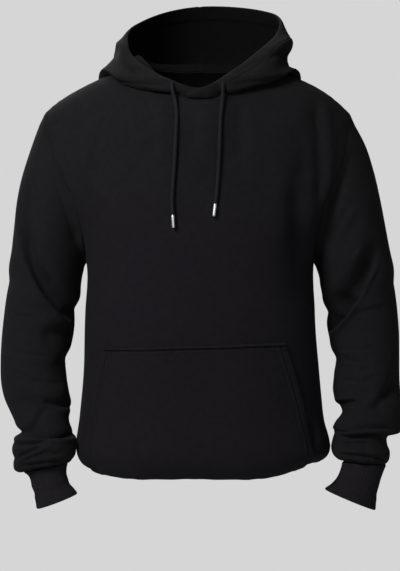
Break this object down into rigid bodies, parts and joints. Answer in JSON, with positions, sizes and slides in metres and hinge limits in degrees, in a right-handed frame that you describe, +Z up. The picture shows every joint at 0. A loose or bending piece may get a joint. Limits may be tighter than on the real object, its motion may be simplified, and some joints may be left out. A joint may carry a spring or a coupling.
{
  "type": "pullover hoodie",
  "caption": "Pullover hoodie in worn form, hollow, with a hood laid back, hanging drawcords, a pouch pocket, ribbed cuffs and a hem turned under.",
  "frame": {"origin": "between the shoulders, where the wearer carries the garment", "axes": "+Z up, +X to the wearer's left, the front faces -Y"},
  "size_m": [0.6164, 0.3606, 0.7927],
  "materials": {
    "black_fleece": "matt brushed cotton fleece",
    "black_rib_knit": "matt rib knit",
    "black_cord": "braided flat-sheen cord",
    "silver_tip": "polished metal"
  },
  "bodies": {
    "root": {"front": "black_fleece", "back": "black_fleece", "sleeve_left": "black_fleece", "sleeve_right": "black_fleece", "cuff_left": "black_rib_knit", "cuff_right": "black_rib_knit", "hem_band": "black_rib_knit", "hood_left": "black_fleece", "hood_right": "black_fleece", "pocket": "black_fleece", "drawcord_left": "black_cord", "drawcord_right": "black_cord", "cord_tip_left": "silver_tip", "cord_tip_right": "silver_tip"}
  },
  "joints": []
}
